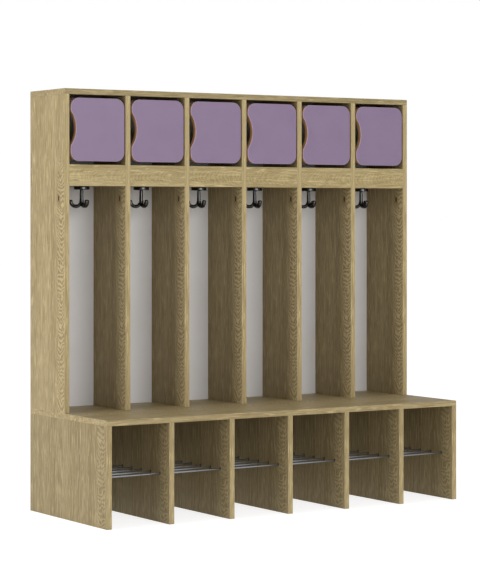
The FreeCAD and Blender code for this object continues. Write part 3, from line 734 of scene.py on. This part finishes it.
sinks = []
for place in screw_places(hook_x, under + SINK_DEPTH / 2 - SINK_OVER / 2):
    bpy.ops.mesh.primitive_cone_add(vertices=SINK_SIDES, radius1=SINK_RADIUS + SINK_OVER,
                                    radius2=SINK_FLOOR, depth=SINK_DEPTH + SINK_OVER,
                                    location=place)
    sinks.append(settle())
sink = gather(sinks)
finish_with(hook, "BOOLEAN", operation="DIFFERENCE", solver="EXACT", object=sink)
bpy.data.objects.remove(sink)
bpy.ops.object.shade_smooth_by_angle(angle=HOOK_CREASE)

BLACK = (0.0030, 0.0030, 0.0036)
BLACK_SWIRL = (0.0060, 0.0060, 0.0068)
FLOW, FLOW_RANGE = (60.0, 3.0), (0.3, 0.75)
MOULD_TEXTURE = 700.0
BLACK_ROUGH, FLOW_ROUGH = 0.06, 0.10
BLACK_COAT, FLOW_COAT, BLACK_COAT_ROUGH = 0.10, 0.3, 0.12
MOULD_RELIEF, MOULD_STRENGTH = 0.00002, 0.3
material, tree, finish, here = start_material("glossy black moulding",
                                              Coat_Roughness=BLACK_COAT_ROUGH)
flow = noise(tree, here, *FLOW)
fine = noise(tree, here, MOULD_TEXTURE)
surface(tree, finish, tint(tree, between(tree, flow, *FLOW_RANGE), BLACK, BLACK_SWIRL),
        built_up(tree, BLACK_ROUGH, (flow, FLOW_ROUGH)), fine, MOULD_RELIEF, MOULD_STRENGTH)
tree.links.new(built_up(tree, BLACK_COAT, (flow, FLOW_COAT)), finish["Coat Weight"])
coat(hook, material)

hook.name = "moulded_hook_1"
hooks = [hook]
for bay in BAYS[1:]:
    hooks.append(copy_to(hook, "moulded_hook_%d" % bay, (bay_middle(bay) - hook_x, 0, 0)))
for bay, piece in enumerate(hooks, 1):
    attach(piece, "cabinet")
    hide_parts("coat_hook_%d" % bay)

# Screws: zinc-plated, countersunk, with a cross recess. Three hold each hook up to the
# locker floor, and two hold each hinge plate to the upright beside the door.
HOOK_HEAD, HOOK_SHANK, HOOK_LENGTH = 0.0036, 0.0018, 0.020
PLATE_HEAD, PLATE_SHANK, PLATE_LENGTH = 0.0042, 0.0025, 0.014
SCREW_SIDES = 24
RECESS_ARM = 0.62
RECESS_WIDTH = 0.24
RECESS_DEPTH = 0.42
RECESS_FLOOR = 0.55
FACES_UP = 0.9
THREAD_PITCH = 0.0014
THREAD_ROOT = 0.72
POINT_PITCHES = 3
POINT_WIDTH = 0.05
SCREW_CREASE = math.radians(35)
HOOK_SCREW_SUNK = 0.0002
FIRST_TURN, NEXT_TURN = 0.5, 1.3
DOOR_TO_UPRIGHT = 0.004
PLATE_THICKNESS = 0.0025
PLATE_SCREW_BACK = 0.013
PLATE_SCREW_LIFTS = (-0.066, -0.034, 0.034, 0.066)


def screw(head, shank, length):
    """A screw with its head flush at the origin and its shank running up."""
    risen = head - shank
    bpy.ops.mesh.primitive_circle_add(vertices=SCREW_SIDES, radius=head, fill_type="NGON",
                                      location=(0, 0, 0))
    open_up()
    draw_out(risen, shank / head, (0, 0), risen)
    size = THREAD_ROOT
    while risen < length - POINT_PITCHES * THREAD_PITCH:
        risen += THREAD_PITCH / 2
        draw_out(THREAD_PITCH / 2, size, (0, 0), risen)
        size = 1 / size
    draw_out(length - risen, POINT_WIDTH, (0, 0), length)
    bpy.ops.mesh.select_all(action="SELECT")
    bpy.ops.mesh.normals_make_consistent(inside=False)
    made = settle()
    arms = []
    deep = RECESS_DEPTH * head
    for wide_x, wide_y in ((RECESS_ARM, RECESS_WIDTH), (RECESS_WIDTH, RECESS_ARM)):
        bpy.ops.mesh.primitive_cube_add(size=2)
        bpy.ops.transform.resize(value=(wide_x * head, wide_y * head, deep))
        arms.append(settle())
        pick("faces", lambda face: face.normal.z > FACES_UP)
        bpy.ops.transform.resize(value=(RECESS_FLOOR, RECESS_FLOOR, 1),
                                 center_override=(0, 0, deep))
        settle()
    for cutter in arms:
        finish_with(made, "BOOLEAN", operation="DIFFERENCE", solver="EXACT", object=cutter)
        bpy.data.objects.remove(cutter)
    bpy.ops.object.shade_smooth_by_angle(angle=SCREW_CREASE)
    return made


up_screw = screw(HOOK_HEAD, HOOK_SHANK, HOOK_LENGTH)
side_screw = screw(PLATE_HEAD, PLATE_SHANK, PLATE_LENGTH)
side_screw.data.transform(Matrix.Rotation(math.radians(90), 4, "Y"))
driven = []
plate_screw_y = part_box("hinge_plates")[0].y + PLATE_SCREW_BACK
for bay in BAYS:
    for place in screw_places(bay_middle(bay), under + HOOK_SCREW_SUNK):
        driven.append(copy_to(up_screw, "screw", place,
                              turn=FIRST_TURN + NEXT_TURN * len(driven)))
    door_low, door_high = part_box("door_%d" % bay)
    plate_face_x = door_high.x + DOOR_TO_UPRIGHT - PLATE_THICKNESS
    hinge_z = (door_low.z + door_high.z) / 2
    for lift in PLATE_SCREW_LIFTS:
        driven.append(copy_to(side_screw, "screw",
                              (plate_face_x, plate_screw_y, hinge_z + lift)))
for pattern in (up_screw, side_screw):
    bpy.data.objects.remove(pattern)
screws = gather(driven)
screws.name = "driven_screws"

ZINC = (0.60, 0.60, 0.58)
ZINC_DULL = (0.48, 0.47, 0.44)
PATCHES, PATCH_RANGE = (240.0, 3.0, 0.6), (0.3, 0.7)
ZINC_ROUGH, PATCH_ROUGH = 0.2, 0.25
ZINC_RELIEF = 0.00002
material, tree, finish, here = start_material("zinc plate", Metallic=1.0)
patchy = noise(tree, here, *PATCHES)
surface(tree, finish, tint(tree, between(tree, patchy, *PATCH_RANGE), ZINC, ZINC_DULL),
        built_up(tree, ZINC_ROUGH, (patchy, PATCH_ROUGH)), patchy, ZINC_RELIEF)
coat(screws, material)
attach(screws, "cabinet")
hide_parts("fixing_screws")

# Shoe rack rods: 6 mm satin plated steel, five across each bay, with fine draw lines along
# them and a little haze where shoes rub.
STEEL = (0.36, 0.375, 0.405)
STEEL_LINE = (0.27, 0.285, 0.315)
STEEL_HAZE = (0.22, 0.225, 0.24)
DRAW_LINES, LINE_RANGE = ((14.0, 2600.0, 2600.0), 3.0, 0.6), (0.3, 0.75)
HAZE, HAZE_RANGE, HAZE_SHARE = (34.0, 3.0, 0.55), (0.5, 0.75), 0.3
STEEL_ROUGH, HAZE_ROUGH, LINE_ROUGH = 0.16, 0.16, 0.12
STEEL_RELIEF, STEEL_STRENGTH = 0.00002, 0.35
material, tree, finish, here = start_material("satin plated steel", Metallic=1.0)
lines = noise(tree, here, *DRAW_LINES)
haze = noise(tree, here, *HAZE)
colour = tint(tree, between(tree, lines, *LINE_RANGE), STEEL, STEEL_LINE)
colour = tint(tree, faint(tree, between(tree, haze, *HAZE_RANGE), HAZE_SHARE), colour,
              STEEL_HAZE)
surface(tree, finish, colour,
        built_up(tree, STEEL_ROUGH, (haze, HAZE_ROUGH), (lines, LINE_ROUGH)),
        lines, STEEL_RELIEF, STEEL_STRENGTH)
dress("shoe_rods", material)

# Rod sockets: small flanged cups of dark grey nylon, pressed into the uprights, with the
# slightly grained face of moulded plastic.
NYLON = (0.018, 0.022, 0.032)
NYLON_WORN = (0.034, 0.038, 0.048)
NYLON_GRAIN = (1800.0, 2.0, 0.55)
WEAR, WEAR_RANGE = (120.0, 3.0, 0.55), (0.3, 0.7)
NYLON_ROUGH, GRAINED_ROUGH = 0.38, 0.2
NYLON_RELIEF = 0.00003
material, tree, finish, here = start_material("dark grey nylon")
grained = noise(tree, here, *NYLON_GRAIN)
wear_and_highlight = noise(tree, here, *WEAR)
surface(tree, finish, tint(tree, between(tree, wear_and_highlight, *WEAR_RANGE), NYLON, NYLON_WORN),
        built_up(tree, NYLON_ROUGH, (grained, GRAINED_ROUGH)), grained, NYLON_RELIEF)
dress("rod_sockets", material)

# Dowels: fluted beech, glued into the board ends and into the faces that they meet, and
# out of sight once the cabinet is built up.
BEECH = (0.55, 0.38, 0.22)
BEECH_RAY = (0.42, 0.27, 0.14)
RAYS, RAY_RANGE = ((500.0, 500.0, 60.0), 3.0, 0.6), (0.3, 0.7)
BEECH_ROUGH, RAY_ROUGH = 0.55, 0.2
BEECH_RELIEF = 0.0001
material, tree, finish, here = start_material("beech dowel")
rays = noise(tree, here, *RAYS)
surface(tree, finish, tint(tree, between(tree, rays, *RAY_RANGE), BEECH, BEECH_RAY),
        built_up(tree, BEECH_ROUGH, (rays, RAY_ROUGH)), rays, BEECH_RELIEF)
dress("wooden_dowels", material)

# The studio: a tent of even white light over a pale table that glows a little, with one
# large soft lamp in front, one at the left and a weaker one above, all out of view.
WHITE = (1, 1, 1, 1)
SKY = 0.50
LAMP_DISTANCE = 9.0
LAMP_SIZE = 6.0
LAMP_HEIGHT = 2.6
FRONT_WATTS = 560.0
LEFT_WATTS = 660.0
TOP_WATTS = 50.0
TABLE_SIZE = 60
TABLE_PALE, TABLE_SHADE = (0.42, 0.42, 0.42), (0.39, 0.39, 0.39)
MOTTLE = (3.0, 3.0)
TABLE_ROUGH, MOTTLE_ROUGH = 0.8, 0.1
TABLE_RELIEF = 0.0002
GLOW = 0.48
GLOW_SEEN = 0.78


def brighter_when_seen(tree, strength, seen_strength):
    """A strength that is another one where the camera looks straight at it."""
    seen = tree.nodes.new("ShaderNodeLightPath").outputs["Is Camera Ray"]
    return reckon(tree, "MULTIPLY_ADD", seen, seen_strength - strength, strength)


bpy.context.scene.view_settings.view_transform = "Standard"
world = bpy.data.worlds.new("white tent")
world.use_nodes = True
tent = world.node_tree
tent.nodes["Background"].inputs["Color"].default_value = WHITE
tent.links.new(brighter_when_seen(tent, SKY, 1.0), tent.nodes["Background"].inputs["Strength"])
bpy.context.scene.world = world

for name, place, tilt, turn, watts in (
        ("front lamp", (0, -LAMP_DISTANCE, LAMP_HEIGHT), 90, 0, FRONT_WATTS),
        ("left lamp", (-LAMP_DISTANCE, 0, LAMP_HEIGHT), 90, -90, LEFT_WATTS),
        ("top lamp", (0, 0, LAMP_DISTANCE), 0, 0, TOP_WATTS)):
    bpy.ops.object.light_add(type="AREA", location=place,
                             rotation=(math.radians(tilt), 0, math.radians(turn)))
    lamp = bpy.context.object
    lamp.name = name
    lamp.data.size = LAMP_SIZE
    lamp.data.energy = watts
    lamp.visible_camera = False

bpy.ops.mesh.primitive_plane_add(size=TABLE_SIZE, location=(0, 0, 0))
floor = bpy.context.object
floor.name = "floor"
material, tree, finish, here = start_material("glowing pale table")
mottle = noise(tree, here, *MOTTLE)
surface(tree, finish, tint(tree, mottle, TABLE_PALE, TABLE_SHADE),
        built_up(tree, TABLE_ROUGH, (mottle, MOTTLE_ROUGH)), mottle, TABLE_RELIEF)
finish["Emission Color"].default_value = WHITE
tree.links.new(brighter_when_seen(tree, GLOW, GLOW_SEEN), finish["Emission Strength"])
floor.data.materials.append(material)
